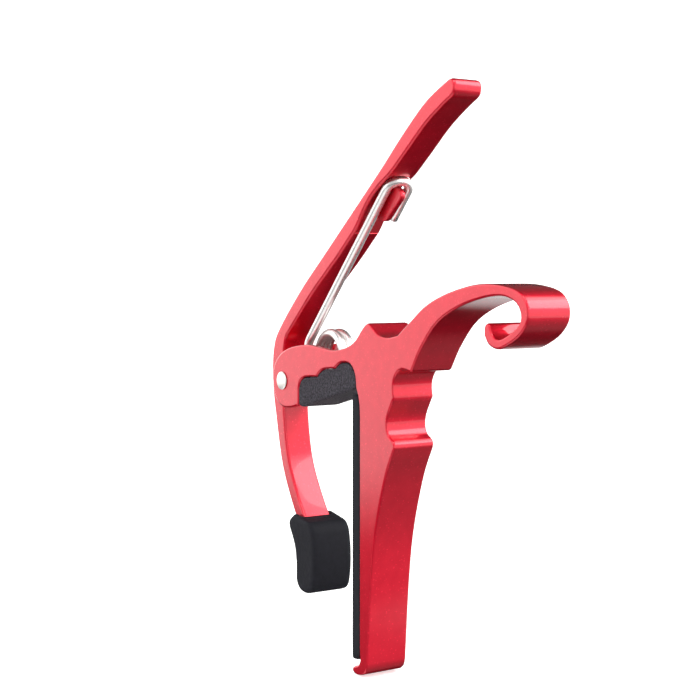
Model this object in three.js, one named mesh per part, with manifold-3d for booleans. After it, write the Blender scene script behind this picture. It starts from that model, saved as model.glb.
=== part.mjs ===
// Guitar capo of the spring-clamp kind, as separate pieces: frame, lever, pivot rivet, torsion spring,
// string pad, bumper and neck pad.
//
// Units are millimetres. X runs across the width of the aluminium extrusions, Y runs from the string bar
// towards the jaw, and Z runs up along the string bar. The origin is the middle of the string pad's face.

import * as THREE from 'three';
import { mergeVertices } from 'three/addons/utils/BufferGeometryUtils.js';
import Module from 'manifold-3d';

const wasm = await Module();
wasm.setup();

// Driving dimensions.
const FRAME_WIDTH = 9.8;
const SLOT_WIDTH = 7.3;
const LEVER_WIDTH = 6.7;
const EDGE_BREAK = 0.45;
const LEVER_EDGE_BREAK = 0.6;
const SEAM = 0.3;

const PIVOT = { y: 29.7, z: 27.9 };
const RIVET_HEAD_RADIUS = 2.0;
const RIVET_HEAD_HEIGHT = 0.62;
const RIVET_SHANK_RADIUS = 1.6;
const RIVET_CLEARANCE = 0.2;
const LEVER_BOSS_RADIUS = 5.0;

const PAD_FACE_Y = 1.5;
const PAD_SEAT_Y = -1.5;
const PAD_TOP = 27.0;
const PAD_BOTTOM = -28.0;
const BOOT_WALL = 1.3;

const WIRE_RADIUS = 0.98;
const COIL = { y: 15.6, z: 33.0, radius: 5.85 };
const COIL_START_X = 2.4;
const COIL_START = -108;
const COIL_END = 705;
const KNEE = new THREE.Vector3(-2.4, 23.0, 36.1);
const HOOK_START = new THREE.Vector3(-1.42, -6.2, 68.6);
const HOOK_SPAN = new THREE.Vector3(3.9, -1.9, -0.3);
const HOOK_TAIL = 7.6;
const ANCHOR_LENGTH = 18.5;

const SLOT_END_Y = 3.0;

// Shapes are drawn in the Y-Z plane and extruded across the width.
const ACROSS = new THREE.Matrix4().makeBasis(
  new THREE.Vector3(0, 1, 0),
  new THREE.Vector3(0, 0, 1),
  new THREE.Vector3(1, 0, 0),
);

function points(list) {
  return list.map(([y, z]) => new THREE.Vector2(y, z));
}

// Extrudes a Y-Z shape across X, with its long edges broken by a small chamfer.
function extrudeAcross(shape, width, chamfer, curveSegments = 5) {
  const depth = width - 2 * chamfer;
  const geometry = new THREE.ExtrudeGeometry(shape, {
    depth,
    bevelEnabled: chamfer > 0,
    bevelThickness: chamfer,
    bevelSize: chamfer,
    bevelOffset: -chamfer,
    bevelSegments: 2,
    curveSegments,
  });
  geometry.translate(0, 0, -depth / 2);
  geometry.applyMatrix4(ACROSS);
  return geometry;
}

function toSolid(geometry) {
  const bare = geometry.clone();
  bare.deleteAttribute('normal');
  bare.deleteAttribute('uv');
  const merged = mergeVertices(bare, 1e-4);
  return new wasm.Manifold(new wasm.Mesh({
    numProp: 3,
    vertProperties: new Float32Array(merged.attributes.position.array),
    triVerts: new Uint32Array(merged.index.array),
  }));
}

function toGeometry(solid) {
  const mesh = solid.getMesh();
  const geometry = new THREE.BufferGeometry();
  geometry.setAttribute('position', new THREE.BufferAttribute(mesh.vertProperties, 3));
  geometry.setIndex(new THREE.BufferAttribute(mesh.triVerts, 1));
  geometry.computeVertexNormals();
  return geometry;
}

// A box given by its lowest and highest corners.
function boxBetween(low, high) {
  const size = high.map((value, axis) => value - low[axis]);
  const geometry = new THREE.BoxGeometry(...size);
  geometry.translate(...low.map((value, axis) => value + size[axis] / 2));
  return toSolid(geometry);
}

// A round bar between two points.
function rodBetween(from, to, radius, sides = 24) {
  const along = new THREE.Vector3().subVectors(to, from);
  const geometry = new THREE.CylinderGeometry(radius, radius, along.length(), sides);
  const turn = new THREE.Quaternion().setFromUnitVectors(new THREE.Vector3(0, 1, 0), along.normalize());
  geometry.applyQuaternion(turn);
  geometry.translate(...new THREE.Vector3().addVectors(from, to).multiplyScalar(0.5).toArray());
  return toSolid(geometry);
}

function rodAcross(centre, radius, width, sides = 48) {
  const from = new THREE.Vector3(-width / 2, centre.y, centre.z);
  const to = new THREE.Vector3(width / 2, centre.y, centre.z);
  return rodBetween(from, to, radius, sides);
}

// Frame: string bar, finger scallops, finger hook, crown and the two ears that carry the pivot.
function frameShape() {
  const shape = new THREE.Shape();
  shape.moveTo(34.3, 28.2);
  // Ear end, wavy top edge, crown and the valley behind the hook.
  shape.splineThru(points([
    [33.4, 31.4], [30.4, 34.0], [26.2, 35.5], [20.0, 36.3], [14.5, 36.0], [9.0, 35.6],
    [4.0, 36.4], [0.4, 37.9], [-2.4, 40.5], [-4.4, 41.7], [-6.2, 40.8], [-8.4, 39.5],
    [-11.5, 39.05], [-15.0, 39.7],
  ]));
  // Top of the hook arm and its curled end.
  shape.splineThru(points([
    [-19.4, 42.6], [-24.3, 45.7], [-30.6, 48.0], [-38.2, 49.6], [-44.0, 49.9], [-49.5, 49.3],
    [-52.6, 48.2], [-54.3, 45.9], [-54.1, 43.3], [-52.0, 40.9], [-48.9, 39.2], [-46.0, 38.3],
    [-43.5, 39.0], [-42.2, 40.7],
  ]));
  shape.quadraticCurveTo(-42.0, 42.8, -43.0, 42.9);
  shape.quadraticCurveTo(-43.9, 42.9, -44.0, 41.8);
  // Inside of the curl and underside of the hook arm.
  shape.splineThru(points([
    [-44.7, 40.7], [-46.4, 40.1], [-49.4, 41.3], [-51.9, 43.0], [-52.2, 44.9], [-50.6, 46.8],
    [-46.8, 47.75], [-41.1, 47.2], [-33.9, 45.3], [-27.6, 42.2], [-22.8, 37.3], [-20.1, 33.3],
  ]));
  // Nose under the arm and the two finger scallops.
  shape.quadraticCurveTo(-19.7, 32.5, -18.7, 32.8);
  shape.splineThru(points([
    [-16.8, 33.05], [-15.2, 32.5], [-14.0, 31.1], [-13.5, 29.3], [-13.8, 27.2],
  ]));
  shape.splineThru(points([
    [-12.6, 25.2], [-11.6, 23.3], [-11.3, 21.3], [-11.9, 19.75], [-13.2, 18.9],
  ]));
  shape.quadraticCurveTo(-14.4, 18.2, -13.9, 17.0);
  // Outer face of the string bar, down to its rounded lip.
  shape.splineThru(points([
    [-11.4, 12.2], [-9.4, 6.7], [-7.8, 1.2], [-6.7, -4.0], [-5.9, -10.0], [-5.3, -16.0],
    [-4.8, -22.5], [-4.4, -28.0],
  ]));
  shape.splineThru(points([
    [-3.9, -29.6], [-2.8, -30.5], [-0.9, -31.0], [0.6, -30.85], [1.2, -30.15], [0.6, -29.45],
    [-1.0, -28.8], [-1.7, -27.8],
  ]));
  // Seat of the string pad.
  shape.quadraticCurveTo(PAD_SEAT_Y, -26.6, PAD_SEAT_Y, -25.2);
  shape.lineTo(PAD_SEAT_Y, 22.9);
  shape.quadraticCurveTo(PAD_SEAT_Y, 26.0, -0.1, 28.4);
  // Stepped pocket of the bumper: three rounded steps.
  shape.splineThru(points([[0.3, 31.0], [1.9, 32.9], [4.2, 33.3], [6.3, 32.9], [8.0, 31.8]]));
  shape.splineThru(points([[9.8, 31.7], [12.3, 31.4], [14.0, 30.7], [15.3, 29.6]]));
  shape.splineThru(points([[17.4, 29.5], [20.2, 29.2], [22.1, 28.3], [22.9, 26.6]]));
  shape.lineTo(22.9, 23.1);
  // Underside of the ears, round to the start.
  shape.splineThru(points([
    [24.4, 22.5], [26.6, 22.1], [29.2, 22.0], [31.5, 22.7], [33.3, 24.6], [34.3, 28.2],
  ]));
  return shape;
}

function makeFrame() {
  const slot = SLOT_WIDTH / 2;
  const anchorEnd = anchorPoint(ANCHOR_LENGTH + SEAM);
  return toGeometry(toSolid(extrudeAcross(frameShape(), FRAME_WIDTH, EDGE_BREAK, 3))
    .subtract(boxBetween([-slot, SLOT_END_Y, 15], [slot, 40, 45]))
    .subtract(rodAcross(PIVOT, RIVET_SHANK_RADIUS + RIVET_CLEARANCE, FRAME_WIDTH + 2))
    .subtract(rodBetween(anchorPoint(9), anchorEnd, WIRE_RADIUS + SEAM)));
}

// Lever: squeeze handle above the pivot and curved jaw below it.
function leverShape() {
  const shape = new THREE.Shape();
  shape.moveTo(37.2, 30.6);
  shape.splineThru(points([
    [36.7, 34.6], [34.4, 38.9], [24.6, 48.1], [13.4, 56.8], [3.6, 64.5], [-7.0, 72.8],
    [-14.0, 78.6], [-21.9, 84.4], [-29.1, 87.7],
  ]));
  shape.quadraticCurveTo(-30.8, 88.1, -31.1, 86.5);
  shape.quadraticCurveTo(-31.2, 84.8, -29.8, 84.2);
  shape.splineThru(points([[-26.9, 82.8], [-21.5, 79.7], [-14.9, 74.8], [-10.8, 71.8], [-8.8, 70.6]]));
  // Shallow dip beside the spring's hook, then the inner face down to the boss.
  shape.splineThru(points([[-5.9, 69.0], [-2.8, 66.8], [-0.2, 64.1], [1.5, 61.9], [2.8, 60.4]]));
  shape.splineThru(points([[5.0, 58.6], [10.1, 54.5], [19.6, 47.4], [27.7, 40.4], [30.8, 37.5], [31.9, 34.4]]));
  // Inner side of the jaw, its rounded end and its outer side.
  shape.splineThru(points([
    [32.0, 27.9], [31.9, 20.4], [29.9, 10.0], [25.3, 1.6], [20.8, -4.6], [19.2, -10.0], [18.9, -13.8],
  ]));
  shape.quadraticCurveTo(19.0, -15.5, 20.6, -15.4);
  shape.quadraticCurveTo(22.2, -15.3, 22.1, -13.6);
  shape.splineThru(points([
    [22.4, -9.6], [24.0, -5.8], [28.2, 0.0], [32.9, 8.8], [35.7, 19.7], [36.9, 25.3], [37.2, 30.6],
  ]));
  return shape;
}

// The direction along the handle at the spring's seat, and the direction out of the handle's inner face.
const HANDLE_ALONG = new THREE.Vector3(0, -0.745, 0.667).normalize();
const HANDLE_OUT = new THREE.Vector3(0, -0.667, -0.745).normalize();
const SEAT_ORIGIN = new THREE.Vector3(0, 0.8, 63.0);

// Places a solid drawn with x across, y along the handle and z out of its inner face.
function onHandle(geometry) {
  const frame = new THREE.Matrix4().makeBasis(new THREE.Vector3(1, 0, 0), HANDLE_ALONG, HANDLE_OUT);
  frame.setPosition(SEAT_ORIGIN);
  geometry.applyMatrix4(frame);
  return toSolid(geometry);
}

// The pocket that the spring's hook lies in: open to the far side, with a floor that ramps down to it.
function springPocket() {
  const plan = new THREE.Shape();
  plan.moveTo(-2.7, -4);
  plan.lineTo(5.0, -4);
  plan.lineTo(5.0, 8.4);
  plan.quadraticCurveTo(3.4, 12.7, 0.4, 13.1);
  plan.lineTo(-1.2, 13.1);
  plan.quadraticCurveTo(-2.7, 13.1, -2.7, 11.6);
  plan.closePath();
  const cutter = new THREE.ExtrudeGeometry(plan, { depth: 6, bevelEnabled: false, curveSegments: 8 });
  cutter.translate(0, 0, -0.9);
  const section = new THREE.Shape();
  section.moveTo(-4, 0.4);
  section.lineTo(4, -0.9);
  section.lineTo(16, -0.9);
  section.lineTo(16, 6);
  section.lineTo(-4, 6);
  section.closePath();
  const ramp = new THREE.ExtrudeGeometry(section, { depth: 10, bevelEnabled: false });
  ramp.translate(0, 0, -4);
  ramp.applyMatrix4(ACROSS);
  return onHandle(cutter).intersect(onHandle(ramp));
}

// The lug between the hook's two legs. Its top leans out over the bend of the hook.
function springLug() {
  const shape = new THREE.Shape();
  shape.moveTo(1.2, -1.5);
  shape.lineTo(10.15, -1.5);
  shape.lineTo(10.15, 1.0);
  shape.lineTo(10.6, 2.1);
  shape.lineTo(10.6, 2.9);
  shape.quadraticCurveTo(10.5, 3.9, 9.3, 3.95);
  shape.lineTo(3.9, 3.7);
  shape.quadraticCurveTo(1.9, 3.7, 1.4, 1.2);
  shape.closePath();
  const geometry = new THREE.ExtrudeGeometry(shape, {
    depth: 0.95, bevelThickness: 0.25, bevelSize: 0.25, bevelOffset: -0.25, bevelSegments: 1, curveSegments: 6,
  });
  geometry.translate(0, 0, 0.05);
  geometry.applyMatrix4(ACROSS);
  return onHandle(geometry);
}

function makeLever() {
  const boss = new THREE.Shape();
  boss.absarc(PIVOT.y, PIVOT.z, LEVER_BOSS_RADIUS, 0, 2 * Math.PI);
  return toGeometry(toSolid(extrudeAcross(leverShape(), LEVER_WIDTH, LEVER_EDGE_BREAK, 4))
    .add(toSolid(extrudeAcross(boss, LEVER_WIDTH, EDGE_BREAK, 20)))
    .subtract(rodAcross(PIVOT, RIVET_SHANK_RADIUS + RIVET_CLEARANCE, LEVER_WIDTH + 2))
    .subtract(springPocket())
    .add(springLug()));
}

// Rivet: a shank with a low domed head on each side of the ears.
function makeRivet() {
  const ear = FRAME_WIDTH / 2 + 0.08;
  const top = ear + RIVET_HEAD_HEIGHT;
  const profile = new THREE.Path();
  profile.moveTo(0, -top);
  profile.bezierCurveTo(1.3, -top, RIVET_HEAD_RADIUS, -ear - 0.45, RIVET_HEAD_RADIUS, -ear - 0.15);
  profile.lineTo(RIVET_HEAD_RADIUS - 0.15, -ear);
  profile.lineTo(RIVET_SHANK_RADIUS, -ear);
  profile.lineTo(RIVET_SHANK_RADIUS, ear);
  profile.lineTo(RIVET_HEAD_RADIUS - 0.15, ear);
  profile.lineTo(RIVET_HEAD_RADIUS, ear + 0.15);
  profile.bezierCurveTo(RIVET_HEAD_RADIUS, ear + 0.45, 1.3, top, 0, top);
  const geometry = new THREE.LatheGeometry(profile.getPoints(4), 28);
  geometry.rotateZ(-Math.PI / 2);
  geometry.translate(0, PIVOT.y, PIVOT.z);
  return geometry;
}

// A point on the coil at an angle in degrees, measured from +Y towards +Z.
function coilPoint(angle) {
  const turn = THREE.MathUtils.degToRad(angle);
  const share = (angle - COIL_START) / (COIL_END - COIL_START);
  return new THREE.Vector3(
    COIL_START_X * (1 - 2 * share),
    COIL.y + COIL.radius * Math.cos(turn),
    COIL.z + COIL.radius * Math.sin(turn),
  );
}

// A point on the straight leg that runs from the coil into the frame, at a distance from the coil.
function anchorPoint(distance) {
  const turn = THREE.MathUtils.degToRad(COIL_START);
  const away = new THREE.Vector3(0, Math.sin(turn), -Math.cos(turn));
  return coilPoint(COIL_START).addScaledVector(away, distance);
}

// Points of a rounded corner between two straight runs.
function roundCorner(from, corner, to, radius) {
  const inward = new THREE.Vector3().subVectors(from, corner).normalize();
  const outward = new THREE.Vector3().subVectors(to, corner).normalize();
  const setback = radius / Math.tan(inward.angleTo(outward) / 2);
  return new THREE.QuadraticBezierCurve3(
    corner.clone().addScaledVector(inward, setback),
    corner.clone(),
    corner.clone().addScaledVector(outward, setback),
  ).getPoints(5);
}

// Centre line of the spring wire: anchor leg, coil, knee, long leg, hook and its tail.
function springPath() {
  const route = [];
  const anchorSteps = 9;
  for (let i = 0; i < anchorSteps; i += 1) {
    route.push(anchorPoint(ANCHOR_LENGTH * (1 - i / anchorSteps)));
  }
  const coilSteps = 64;
  for (let i = 0; i <= coilSteps; i += 1) {
    route.push(coilPoint(THREE.MathUtils.lerp(COIL_START, COIL_END, i / coilSteps)));
  }
  route.push(...roundCorner(coilPoint(COIL_END), KNEE, HOOK_START, 3.2));
  const along = new THREE.Vector3().subVectors(HOOK_START, KNEE).normalize();
  const legLength = KNEE.distanceTo(HOOK_START);
  for (let distance = 4; distance < legLength - 1; distance += 3) {
    route.push(KNEE.clone().addScaledVector(along, distance));
  }
  const bend = HOOK_SPAN.length() / 2;
  const bendSteps = 8;
  for (let i = 0; i <= bendSteps; i += 1) {
    const turn = Math.PI * (i / bendSteps);
    route.push(HOOK_START.clone()
      .addScaledVector(HOOK_SPAN, (1 - Math.cos(turn)) / 2)
      .addScaledVector(along, bend * Math.sin(turn)));
  }
  for (let distance = 2; distance <= HOOK_TAIL; distance += 2.5) {
    route.push(HOOK_START.clone().add(HOOK_SPAN).addScaledVector(along, -distance));
  }
  return new THREE.CatmullRomCurve3(route, false, 'centripetal');
}

function makeSpring() {
  const section = new THREE.Shape();
  section.absarc(0, 0, WIRE_RADIUS, 0, 2 * Math.PI);
  return new THREE.ExtrudeGeometry(section, {
    extrudePath: springPath(), steps: 150, curveSegments: 5, bevelEnabled: false,
  });
}

// String pad: a rubber strip in the bar's seat, between the frame and the lip.
function makeStringPad() {
  const back = PAD_SEAT_Y + SEAM;
  const shape = new THREE.Shape();
  shape.moveTo(PAD_FACE_Y, PAD_BOTTOM + 0.6);
  shape.lineTo(PAD_FACE_Y, PAD_TOP - 0.6);
  shape.quadraticCurveTo(PAD_FACE_Y, PAD_TOP, PAD_FACE_Y - 0.6, PAD_TOP);
  shape.lineTo(back + 1.3, PAD_TOP);
  shape.quadraticCurveTo(back, PAD_TOP - 2.0, back, PAD_TOP - 4.0);
  shape.lineTo(back, PAD_BOTTOM + 2.8);
  shape.quadraticCurveTo(back, PAD_BOTTOM + 1.0, back + 1.2, PAD_BOTTOM);
  shape.lineTo(PAD_FACE_Y - 0.6, PAD_BOTTOM);
  shape.quadraticCurveTo(PAD_FACE_Y, PAD_BOTTOM, PAD_FACE_Y, PAD_BOTTOM + 0.6);
  return extrudeAcross(shape, FRAME_WIDTH - 0.2, 0.25);
}

// Bumper: a foam block in the stepped pocket, hollowed for the coil and for the anchor leg.
function makeBumper() {
  const shape = new THREE.Shape();
  shape.moveTo(0.3, 28.8);
  shape.splineThru(points([[0.6, 30.9], [2.1, 32.55], [4.2, 32.95], [6.2, 32.55], [7.8, 31.5]]));
  shape.splineThru(points([[9.7, 31.35], [12.2, 31.05], [13.8, 30.4], [15.1, 29.3]]));
  shape.splineThru(points([[17.3, 29.15], [20.0, 28.85], [21.8, 28.05], [22.55, 26.5]]));
  shape.lineTo(22.55, 23.6);
  shape.quadraticCurveTo(22.5, 22.8, 21.6, 23.0);
  shape.lineTo(1.0, 28.3);
  shape.closePath();
  const coilRoom = rodAcross(COIL, COIL.radius + WIRE_RADIUS + SEAM, SLOT_WIDTH);
  const legRoom = rodBetween(anchorPoint(-1), anchorPoint(ANCHOR_LENGTH), WIRE_RADIUS + SEAM);
  return toGeometry(toSolid(extrudeAcross(shape, FRAME_WIDTH - 0.3, 0.25))
    .subtract(coilRoom)
    .subtract(legRoom));
}

// Neck pad: a rubber boot pulled over the end of the jaw.
function makeNeckPad() {
  const shape = new THREE.Shape();
  shape.moveTo(18.9, -2.3);
  shape.quadraticCurveTo(17.6, -3.0, 17.0, -4.6);
  shape.splineThru(points([[16.4, -8.5], [16.4, -12.5], [17.0, -16.0]]));
  shape.quadraticCurveTo(17.8, -18.2, 20.6, -18.1);
  shape.quadraticCurveTo(23.6, -18.0, 24.2, -15.4);
  shape.splineThru(points([[24.2, -11.5], [25.0, -8.0], [27.2, -4.3]]));
  shape.quadraticCurveTo(27.6, -3.0, 26.4, -2.2);
  shape.lineTo(24.9, -1.2);
  shape.closePath();
  const socket = new THREE.Shape();
  socket.moveTo(20.5, -4.8);
  socket.splineThru(points([[18.9, -10.0], [18.55, -13.9]]));
  socket.quadraticCurveTo(18.7, -15.9, 20.6, -15.8);
  socket.quadraticCurveTo(22.6, -15.7, 22.45, -13.6);
  socket.splineThru(points([[22.75, -9.6], [24.3, -6.0], [26.5, -3.0]]));
  socket.lineTo(30.5, 3.0);
  socket.lineTo(25.6, 2.4);
  socket.closePath();
  return toGeometry(toSolid(extrudeAcross(shape, LEVER_WIDTH + 2 * (BOOT_WALL + SEAM), 0.5))
    .subtract(toSolid(extrudeAcross(socket, LEVER_WIDTH + 2 * SEAM, 0))));
}

const anodised = { color: 0xc0223c, roughness: 0.38, metalness: 0.55 };
const steel = { color: 0xd9d6d2, roughness: 0.22, metalness: 1.0 };
const rubber = { color: 0x17161a, roughness: 0.8, metalness: 0.0 };
const foam = { color: 0x33313a, roughness: 0.95, metalness: 0.0 };

const group = new THREE.Group();

// The outlines are drawn with Y = 0 a little behind the pad's face; here the face becomes the origin.
function place(name, geometry, finish) {
  geometry.translate(0, -PAD_FACE_Y, 0);
  const mesh = new THREE.Mesh(geometry, new THREE.MeshStandardMaterial(finish));
  mesh.name = name;
  group.add(mesh);
}

place('frame', makeFrame(), anodised);
place('lever', makeLever(), anodised);
place('pivot_rivet', makeRivet(), steel);
place('torsion_spring', makeSpring(), steel);
place('string_pad', makeStringPad(), rubber);
place('bumper', makeBumper(), foam);
place('neck_pad', makeNeckPad(), rubber);

export default group;
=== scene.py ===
"""Looks of the guitar capo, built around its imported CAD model."""

import math

import bmesh
import bpy
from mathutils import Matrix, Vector


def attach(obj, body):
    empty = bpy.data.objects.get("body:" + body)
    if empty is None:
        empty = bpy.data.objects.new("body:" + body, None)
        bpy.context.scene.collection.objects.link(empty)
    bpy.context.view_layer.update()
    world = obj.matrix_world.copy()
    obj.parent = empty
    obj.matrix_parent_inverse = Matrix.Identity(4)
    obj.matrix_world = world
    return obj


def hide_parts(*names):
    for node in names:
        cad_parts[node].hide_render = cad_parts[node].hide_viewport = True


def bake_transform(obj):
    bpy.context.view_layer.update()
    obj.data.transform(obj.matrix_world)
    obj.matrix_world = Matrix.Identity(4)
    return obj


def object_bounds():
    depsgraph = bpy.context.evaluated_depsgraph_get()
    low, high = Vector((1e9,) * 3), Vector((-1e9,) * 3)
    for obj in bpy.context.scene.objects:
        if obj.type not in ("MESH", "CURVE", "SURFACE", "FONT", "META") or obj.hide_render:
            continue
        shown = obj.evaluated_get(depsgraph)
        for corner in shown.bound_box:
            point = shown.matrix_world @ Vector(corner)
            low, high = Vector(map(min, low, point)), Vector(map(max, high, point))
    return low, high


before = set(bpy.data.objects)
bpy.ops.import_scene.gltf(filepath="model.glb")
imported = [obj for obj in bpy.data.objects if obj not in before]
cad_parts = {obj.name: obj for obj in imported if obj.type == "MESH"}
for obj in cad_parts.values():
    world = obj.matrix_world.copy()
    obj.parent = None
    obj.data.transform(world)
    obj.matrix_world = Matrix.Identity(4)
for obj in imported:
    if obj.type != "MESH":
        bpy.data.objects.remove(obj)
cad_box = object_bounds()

MM = 0.001
scene = bpy.context.scene


# ---------------------------------------------------------------- camera

TURN, PITCH = math.radians(32.701), math.radians(3.218)
AIM = Vector((-4.9, 0.4, 36.0)) * MM
DISTANCE = 287.086 * MM
forward = Vector((
    math.sin(TURN) * math.cos(PITCH),
    math.cos(TURN) * math.cos(PITCH),
    -math.sin(PITCH),
))
camera = bpy.data.objects.new("camera", bpy.data.cameras.new("camera"))
camera.data.sensor_width = 36
camera.data.lens = 72
camera.data.clip_start = 0.01
camera.location = AIM - forward * DISTANCE
camera.rotation_mode = "QUATERNION"
camera.rotation_quaternion = forward.to_track_quat("-Z", "Y")
scene.collection.objects.link(camera)
scene.camera = camera


# ---------------------------------------------------------------- node helpers

def new_material(name):
    material = bpy.data.materials.new(name)
    material.use_nodes = True
    tree = material.node_tree
    tree.nodes.clear()
    out = tree.nodes.new("ShaderNodeOutputMaterial")
    shader = tree.nodes.new("ShaderNodeBsdfPrincipled")
    tree.links.new(shader.outputs[0], out.inputs[0])
    return material, tree, shader


def object_coordinates(tree):
    return tree.nodes.new("ShaderNodeTexCoord").outputs["Object"]


def noise(tree, where, scale, detail=2.0, roughness=0.5):
    node = tree.nodes.new("ShaderNodeTexNoise")
    node.inputs["Scale"].default_value = scale
    node.inputs["Detail"].default_value = detail
    node.inputs["Roughness"].default_value = roughness
    tree.links.new(where, node.inputs["Vector"])
    return node.outputs["Fac"]


def spread(tree, value, low, high, to_low, to_high, smooth=False):
    node = tree.nodes.new("ShaderNodeMapRange")
    node.interpolation_type = "SMOOTHSTEP" if smooth else "LINEAR"
    node.inputs["From Min"].default_value = low
    node.inputs["From Max"].default_value = high
    node.inputs["To Min"].default_value = to_low
    node.inputs["To Max"].default_value = to_high
    tree.links.new(value, node.inputs["Value"])
    return node.outputs["Result"]


def arithmetic(tree, operation, a, b):
    node = tree.nodes.new("ShaderNodeMath")
    node.operation = operation
    for socket, value in zip(node.inputs, (a, b)):
        if isinstance(value, (int, float)):
            socket.default_value = value
        else:
            tree.links.new(value, socket)
    return node.outputs[0]


def mix_colours(tree, share, a, b):
    node = tree.nodes.new("ShaderNodeMix")
    node.data_type = "RGBA"
    tree.links.new(share, node.inputs["Factor"])
    for socket, value in ((node.inputs[6], a), (node.inputs[7], b)):
        if isinstance(value, tuple):
            socket.default_value = (*value, 1.0)
        else:
            tree.links.new(value, socket)
    return node.outputs[2]


def bump(tree, height, distance, strength):
    node = tree.nodes.new("ShaderNodeBump")
    node.inputs["Distance"].default_value = distance
    node.inputs["Strength"].default_value = strength
    tree.links.new(height, node.inputs["Height"])
    return node.outputs["Normal"]


# ---------------------------------------------------------------- materials

def red_anodised():
    """Translucent red over bright flakes, under a clear glossy coat."""
    material, tree, shader = new_material("red_anodised")
    where = object_coordinates(tree)
    flakes = tree.nodes.new("ShaderNodeTexVoronoi")
    flakes.inputs["Scale"].default_value = 3600
    tree.links.new(where, flakes.inputs["Vector"])
    split = tree.nodes.new("ShaderNodeSeparateColor")
    tree.links.new(flakes.outputs["Color"], split.inputs[0])
    bright = spread(tree, split.outputs[0], 0.94, 1.0, 0.0, 0.55)
    patches = noise(tree, where, 420, 3.0)
    shade = spread(tree, patches, 0.35, 0.65, 0.0, 1.0)
    colour = mix_colours(tree, shade, (0.65, 0.006, 0.027), (0.70, 0.008, 0.031))
    colour = mix_colours(tree, bright, colour, (1.0, 0.030, 0.070))
    tree.links.new(colour, shader.inputs["Base Color"])
    tree.links.new(spread(tree, bright, 0, 1, 0.48, 0.32), shader.inputs["Roughness"])
    shader.inputs["Metallic"].default_value = 0.93
    shader.inputs["Coat Weight"].default_value = 1.0
    shader.inputs["Coat Roughness"].default_value = 0.05
    shader.inputs["Coat IOR"].default_value = 1.5
    tilt = bump(tree, split.outputs[1], 0.00001, 0.35)
    tree.links.new(tilt, shader.inputs["Normal"])
    return material


def bright_steel(name, colour, roughness, grain, metal):
    """Polished metal. The grain is the depth of its scratches in metres, and 0 leaves them out."""
    material, tree, shader = new_material(name)
    where = object_coordinates(tree)
    scratches = noise(tree, where, 2600, 4.0, 0.7)
    tint = mix_colours(tree, scratches, tuple(c * 0.93 for c in colour), colour)
    tree.links.new(tint, shader.inputs["Base Color"])
    tree.links.new(
        spread(tree, scratches, 0.3, 0.7, roughness * 0.8, roughness * 1.25),
        shader.inputs["Roughness"],
    )
    shader.inputs["Metallic"].default_value = metal
    if grain:
        tree.links.new(bump(tree, scratches, grain, 0.5), shader.inputs["Normal"])
    return material


def black_rubber(name, roughness, scale, depth):
    """Matt rubber with a fine grain of the given depth in metres."""
    material, tree, shader = new_material(name)
    where = object_coordinates(tree)
    grain = noise(tree, where, scale, 3.0, 0.6)
    tint = mix_colours(tree, grain, (0.005, 0.005, 0.007), (0.014, 0.014, 0.019))
    tree.links.new(tint, shader.inputs["Base Color"])
    tree.links.new(
        spread(tree, grain, 0.3, 0.7, roughness - 0.08, roughness + 0.08),
        shader.inputs["Roughness"],
    )
    tree.links.new(bump(tree, grain, depth, 0.6), shader.inputs["Normal"])
    shader.inputs["Specular IOR Level"].default_value = 0.12
    return material


def foam_rubber():
    """Open foam: lighter grains, with painted shade darkening the pits that the bump makes low."""
    material, tree, shader = new_material("foam_rubber")
    where = object_coordinates(tree)
    grain = noise(tree, where, 2300, 3.0, 0.65)
    cells = tree.nodes.new("ShaderNodeTexVoronoi")
    cells.inputs["Scale"].default_value = 2600
    tree.links.new(where, cells.inputs["Vector"])
    height = arithmetic(tree, "MULTIPLY", grain, cells.outputs["Distance"])
    # painted shade: the foam's colour goes darker where the grain noise is low, which is where the
    # bump sinks into pits
    shade = spread(tree, grain, 0.35, 0.68, 0.0, 1.0)
    tint = mix_colours(tree, shade, (0.008, 0.007, 0.009), (0.056, 0.050, 0.062))
    tree.links.new(tint, shader.inputs["Base Color"])
    shader.inputs["Roughness"].default_value = 0.9
    shader.inputs["Specular IOR Level"].default_value = 0.2
    tree.links.new(bump(tree, height, 0.00025, 0.8), shader.inputs["Normal"])
    return material


RED = red_anodised()
RIVET = bright_steel("rivet_nickel", (0.88, 0.86, 0.82), 0.38, 0.000006, 0.65)
WIRE = bright_steel("spring_wire", (0.94, 0.925, 0.91), 0.30, 0.0, 0.94)
PAD = black_rubber("pad_rubber", 0.62, 1400, 0.00006)
BOOT = black_rubber("boot_rubber", 0.6, 1000, 0.00010)
FOAM = foam_rubber()


# ---------------------------------------------------------------- mesh helpers

def add_object(name, mesh, material):
    obj = bpy.data.objects.new(name, mesh)
    scene.collection.objects.link(obj)
    mesh.materials.clear()
    mesh.materials.append(material)
    return obj


def join_rings(bm, rings):
    """A band of faces between each ring of vertices and the next."""
    for ring, following in zip(rings, rings[1:]):
        sides = len(ring)
        for k in range(sides):
            after = (k + 1) % sides
            bm.faces.new((ring[k], ring[after], following[after], following[k]))


def mesh_from(bm, name):
    bmesh.ops.recalc_face_normals(bm, faces=bm.faces)
    mesh = bpy.data.meshes.new(name)
    bm.to_mesh(mesh)
    bm.free()
    return mesh


def apply_modifiers(obj):
    bpy.context.view_layer.update()
    evaluated = obj.evaluated_get(bpy.context.evaluated_depsgraph_get())
    mesh = bpy.data.meshes.new_from_object(evaluated)
    obj.modifiers.clear()
    obj.data = mesh


def copy_of(node, name, material):
    """The node's shape as a clean welded mesh in an object of its own."""
    bm = bmesh.new()
    bm.from_mesh(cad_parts[node].data)
    bmesh.ops.remove_doubles(bm, verts=bm.verts, dist=2e-6)
    return add_object(name, mesh_from(bm, name), material)


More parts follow.
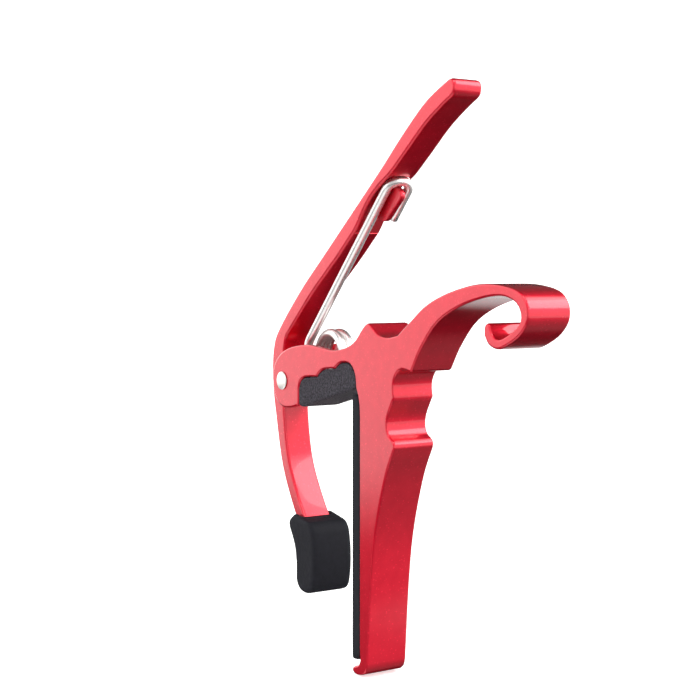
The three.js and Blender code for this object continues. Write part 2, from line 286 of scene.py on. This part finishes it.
def extrusion(node, name, body):
    """A machined extrusion: joined flat faces, soft edges and smooth shading round its curves."""
    obj = copy_of(node, name, RED)
    bm = bmesh.new()
    bm.from_mesh(obj.data)
    bmesh.ops.dissolve_limit(
        bm, angle_limit=math.radians(0.4), verts=bm.verts, edges=bm.edges
    )
    bm.to_mesh(obj.data)
    bm.free()
    edges = obj.modifiers.new("edges", "BEVEL")
    edges.width = 0.14 * MM
    edges.segments = 2
    edges.limit_method = "ANGLE"
    edges.angle_limit = math.radians(62)
    apply_modifiers(obj)
    obj.data.shade_smooth()
    obj.data.set_sharp_from_angle(angle=math.radians(55))
    normals = obj.modifiers.new("normals", "WEIGHTED_NORMAL")
    normals.keep_sharp = True
    normals.weight = 80
    apply_modifiers(obj)
    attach(obj, body)
    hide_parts(node)


def moulded(node, name, body, material, cell, fit=None):
    """A moulded soft piece: the node's shape, rounded as rubber is and fitted to its seat."""
    obj = copy_of(node, name, material)
    cells = obj.modifiers.new("cells", "REMESH")
    cells.mode = "VOXEL"
    cells.voxel_size = cell
    even = obj.modifiers.new("even", "CORRECTIVE_SMOOTH")
    even.iterations = 6
    even.use_only_smooth = True
    apply_modifiers(obj)
    if fit:
        fit(obj.data)
    obj.data.shade_smooth()
    obj.data.materials.clear()
    obj.data.materials.append(material)
    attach(obj, body)
    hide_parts(node)


def fill_pocket(mesh):
    """Swells the bumper until it meets its pocket, and keeps its sides flush with the frame's."""
    swell, flush = 0.36 * MM, 4.85 * MM
    moved = [v.co + v.normal * swell for v in mesh.vertices]
    for vertex, place in zip(mesh.vertices, moved):
        place.x = max(-flush, min(flush, place.x))
        vertex.co = place


def meet_seat(mesh):
    """Takes the back of the string pad to the bar's seat."""
    middle, gap = -1.4 * MM, 0.28 * MM
    for vertex in mesh.vertices:
        if vertex.co.y < middle:
            vertex.co.y -= gap


# ---------------------------------------------------------------- pieces

extrusion("frame", "capo_frame", "frame_body")
extrusion("lever", "capo_lever", "lever_body")
FINE_CELL, CELL = 0.22 * MM, 0.28 * MM
moulded("string_pad", "capo_string_pad", "frame_body", PAD, FINE_CELL, meet_seat)
moulded("bumper", "capo_bumper", "frame_body", FOAM, CELL, fill_pocket)
moulded("neck_pad", "capo_neck_boot", "lever_body", BOOT, CELL)


def wire_mesh(route, radius, sides):
    """A round wire along a route, with flat ends that have a small rounded edge."""
    bm = bmesh.new()
    rings = []
    side = None
    last = len(route) - 1
    for i, point in enumerate(route):
        ahead = (route[min(i + 1, last)] - route[max(i - 1, 0)]).normalized()
        if side is None:
            side = ahead.orthogonal().normalized()
        side = (side - ahead * side.dot(ahead)).normalized()
        up = ahead.cross(side)
        size = radius * (0.8 if i in (0, last) else 1.0)
        rings.append([
            bm.verts.new(point + (side * math.cos(a) + up * math.sin(a)) * size)
            for a in (2 * math.pi * k / sides for k in range(sides))
        ])
    join_rings(bm, rings)
    bm.faces.new(list(reversed(rings[0])))
    bm.faces.new(rings[-1])
    return mesh_from(bm, "wire")


COIL_Y, COIL_Z, COIL_RADIUS = 14.1, 33.0, 5.85
COIL_SIDE = 2.4
COIL_START, COIL_END = -108.0, 705.0
WIRE_RADIUS = 0.98
KNEE = Vector((-2.4, 21.5, 36.1))
HOOK_START = Vector((-1.42, -7.7, 68.6))
HOOK_SPAN = Vector((3.9, -1.9, -0.3))
HOOK_TAIL = 7.6
ANCHOR_LENGTH = 18.5


def coil_point(angle):
    turn = math.radians(angle)
    share = (angle - COIL_START) / (COIL_END - COIL_START)
    return Vector((
        COIL_SIDE * (1 - 2 * share),
        COIL_Y + COIL_RADIUS * math.cos(turn),
        COIL_Z + COIL_RADIUS * math.sin(turn),
    ))


def rounded_corner(start, corner, end, radius, steps):
    inward, outward = (start - corner).normalized(), (end - corner).normalized()
    setback = radius / math.tan(inward.angle(outward) / 2)
    a, b = corner + inward * setback, corner + outward * setback
    return [
        a.lerp(corner, t).lerp(corner.lerp(b, t), t)
        for t in (i / steps for i in range(steps + 1))
    ]


def spring_route():
    start = math.radians(COIL_START)
    away = Vector((0, math.sin(start), -math.cos(start)))
    ends = [ANCHOR_LENGTH, ANCHOR_LENGTH - 0.2]
    route = [coil_point(COIL_START) + away * d for d in ends + [15.0, 11.0, 7.0, 4.0, 2.0, 0.8]]
    turns = 150
    route += [
        coil_point(COIL_START + (COIL_END - COIL_START) * i / turns) for i in range(turns + 1)
    ]
    route += rounded_corner(coil_point(COIL_END), KNEE, HOOK_START, 3.2, 10)
    along = (HOOK_START - KNEE).normalized()
    length = (HOOK_START - KNEE).length
    route += [KNEE + along * (3.0 + (length - 3.6) * i / 14) for i in range(15)]
    bend = HOOK_SPAN.length / 2
    route += [
        HOOK_START + HOOK_SPAN * ((1 - math.cos(t)) / 2) + along * (bend * math.sin(t))
        for t in (math.pi * i / 20 for i in range(21))
    ]
    tail = HOOK_START + HOOK_SPAN
    route += [tail - along * d for d in (1.5, 3.5, 5.5, HOOK_TAIL - 0.2, HOOK_TAIL)]
    return [p * MM for p in route]


wire = add_object("capo_spring", wire_mesh(spring_route(), WIRE_RADIUS * MM, 20), WIRE)
wire.data.shade_smooth()
wire.data.set_sharp_from_angle(angle=math.radians(50))
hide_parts("torsion_spring")
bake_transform(wire)


PIVOT_Y, PIVOT_Z = 28.2, 27.9
RIM_HEIGHT = 0.12


def rivet_mesh(half, sides):
    """A shank with a domed head outside each ear, turned about the pivot's axis."""
    top, rim, shank = half + 0.62, 2.0, 1.6
    dome = [
        (half + RIM_HEIGHT + (top - half - RIM_HEIGHT) * math.cos(a), rim * math.sin(a))
        for a in (math.radians(90) * i / 10 for i in range(1, 11))
    ]
    outline = dome + [(half, rim - 0.1), (half, shank)]
    outline += [(-x, r) for x, r in reversed(outline)]
    bm = bmesh.new()
    rings = [
        [
            bm.verts.new(Vector((x, PIVOT_Y + r * math.cos(a), PIVOT_Z + r * math.sin(a))) * MM)
            for a in (2 * math.pi * k / sides for k in range(sides))
        ]
        for x, r in outline
    ]
    join_rings(bm, rings)
    for x, ring in ((top, rings[0]), (-top, rings[-1])):
        tip = bm.verts.new(Vector((x, PIVOT_Y, PIVOT_Z)) * MM)
        for k in range(sides):
            bm.faces.new((ring[k], ring[(k + 1) % sides], tip))
    return mesh_from(bm, "rivet")


rivet = add_object("capo_rivet", rivet_mesh(4.98, 48), RIVET)
rivet.data.shade_smooth()
rivet.data.set_sharp_from_angle(angle=math.radians(40))
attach(rivet, "frame_body")
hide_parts("pivot_rivet")


# ---------------------------------------------------------------- floor, light

def studio_floor(level):
    """A round pale floor that curves up into a wall all the way round."""
    bm = bmesh.new()
    sides = 96
    flat, wall, height = 1.3, 1.9, 1.6
    outline = [(r, 0.0) for r in (0.25, 0.7, flat)]
    outline += [
        (flat + (wall - flat) * math.sin(a), (wall - flat) * (1 - math.cos(a)))
        for a in (math.radians(90) * i / 12 for i in range(1, 13))
    ]
    outline.append((wall, height))
    rings = [
        [
            bm.verts.new((r * math.cos(a), r * math.sin(a), level + z))
            for a in (2 * math.pi * k / sides for k in range(sides))
        ]
        for r, z in outline
    ]
    join_rings(bm, rings)
    bm.faces.new(rings[0])
    return mesh_from(bm, "floor")


pale, tree, shader = new_material("pale_floor")
shader.inputs["Base Color"].default_value = (0.86, 0.86, 0.86, 1)
shader.inputs["Roughness"].default_value = 0.9
shader.inputs["Specular IOR Level"].default_value = 0.1
shader.inputs["Emission Color"].default_value = (1, 1, 1, 1)
shader.inputs["Emission Strength"].default_value = 0.55
floor = add_object("floor", studio_floor(cad_box[0].z - 0.0002), pale)
floor.data.shade_smooth()
floor.visible_glossy = False


def softbox(name, place, size, power):
    light = bpy.data.lights.new(name, "AREA")
    light.shape = "DISK"
    light.size = size
    light.energy = power
    obj = bpy.data.objects.new(name, light)
    obj.location = place
    obj.rotation_mode = "QUATERNION"
    obj.rotation_quaternion = (Vector((0, 0, 0.03)) - obj.location).to_track_quat("-Z", "Y")
    scene.collection.objects.link(obj)


softbox("key", Vector((-0.35, -0.25, 0.75)), 0.5, 3.0)
softbox("fill", Vector((0.7, -0.5, 0.55)), 0.6, 2.0)


def studio_world():
    """Soft boxes of light round the object, and a dark room below them."""
    world = bpy.data.worlds.new("studio")
    scene.world = world
    world.use_nodes = True
    world.cycles.sampling_method = "NONE"
    tree = world.node_tree
    tree.nodes.clear()
    out = tree.nodes.new("ShaderNodeOutputWorld")
    sky = tree.nodes.new("ShaderNodeBackground")
    tree.links.new(sky.outputs[0], out.inputs[0])
    where = tree.nodes.new("ShaderNodeTexCoord").outputs["Generated"]
    split = tree.nodes.new("ShaderNodeSeparateXYZ")
    tree.links.new(where, split.inputs[0])
    height = split.outputs[2]

    def panel(direction, outer, inner, low, high, strength):
        """A soft-edged patch of light round a direction, between a low and a high edge."""
        dot = tree.nodes.new("ShaderNodeVectorMath")
        dot.operation = "DOT_PRODUCT"
        dot.inputs[1].default_value = direction
        tree.links.new(where, dot.inputs[0])
        across = spread(tree, dot.outputs["Value"], outer, inner, 0, strength, smooth=True)
        above = spread(tree, height, low[0], low[1], 0, 1, smooth=True)
        below = spread(tree, height, high[0], high[1], 1, 0, smooth=True)
        return arithmetic(tree, "MULTIPLY", across, arithmetic(tree, "MULTIPLY", above, below))

    total = spread(tree, height, -0.15, 0.25, 0.015, 0.07, smooth=True)
    for lit in (
        panel((-0.54, 0.84, 0), 0.50, 0.70, (-0.20, -0.13), (0.70, 0.85), 2.05),
        panel((0.54, -0.84, 0), 0.30, 0.50, (-0.38, -0.31), (0.75, 0.85), 1.9),
        panel((0.54, -0.84, 0), 0.22, 0.45, (-1.1, -0.95), (-0.36, -0.30), 0.30),
        panel((0.54, -0.45, 0.71), 0.86, 0.95, (-0.10, 0.10), (1.2, 1.4), 2.6),
        panel((-0.85, -0.50, 0), 0.30, 0.75, (-0.45, -0.20), (0.70, 0.85), 0.75),
        panel((0.95, 0.20, 0), 0.75, 0.90, (-0.35, -0.15), (0.60, 0.80), 1.0),
        panel((0.54, 0.84, 0), 0.80, 0.93, (-0.60, -0.45), (-0.06, 0.02), 1.0),
        panel((-0.50, 0.10, -0.84), 0.80, 0.92, (-1.4, -1.2), (-0.50, -0.40), 1.5),
    ):
        total = arithmetic(tree, "ADD", total, lit)
    tree.links.new(total, sky.inputs["Strength"])


studio_world()
scene.view_settings.view_transform = "Standard"
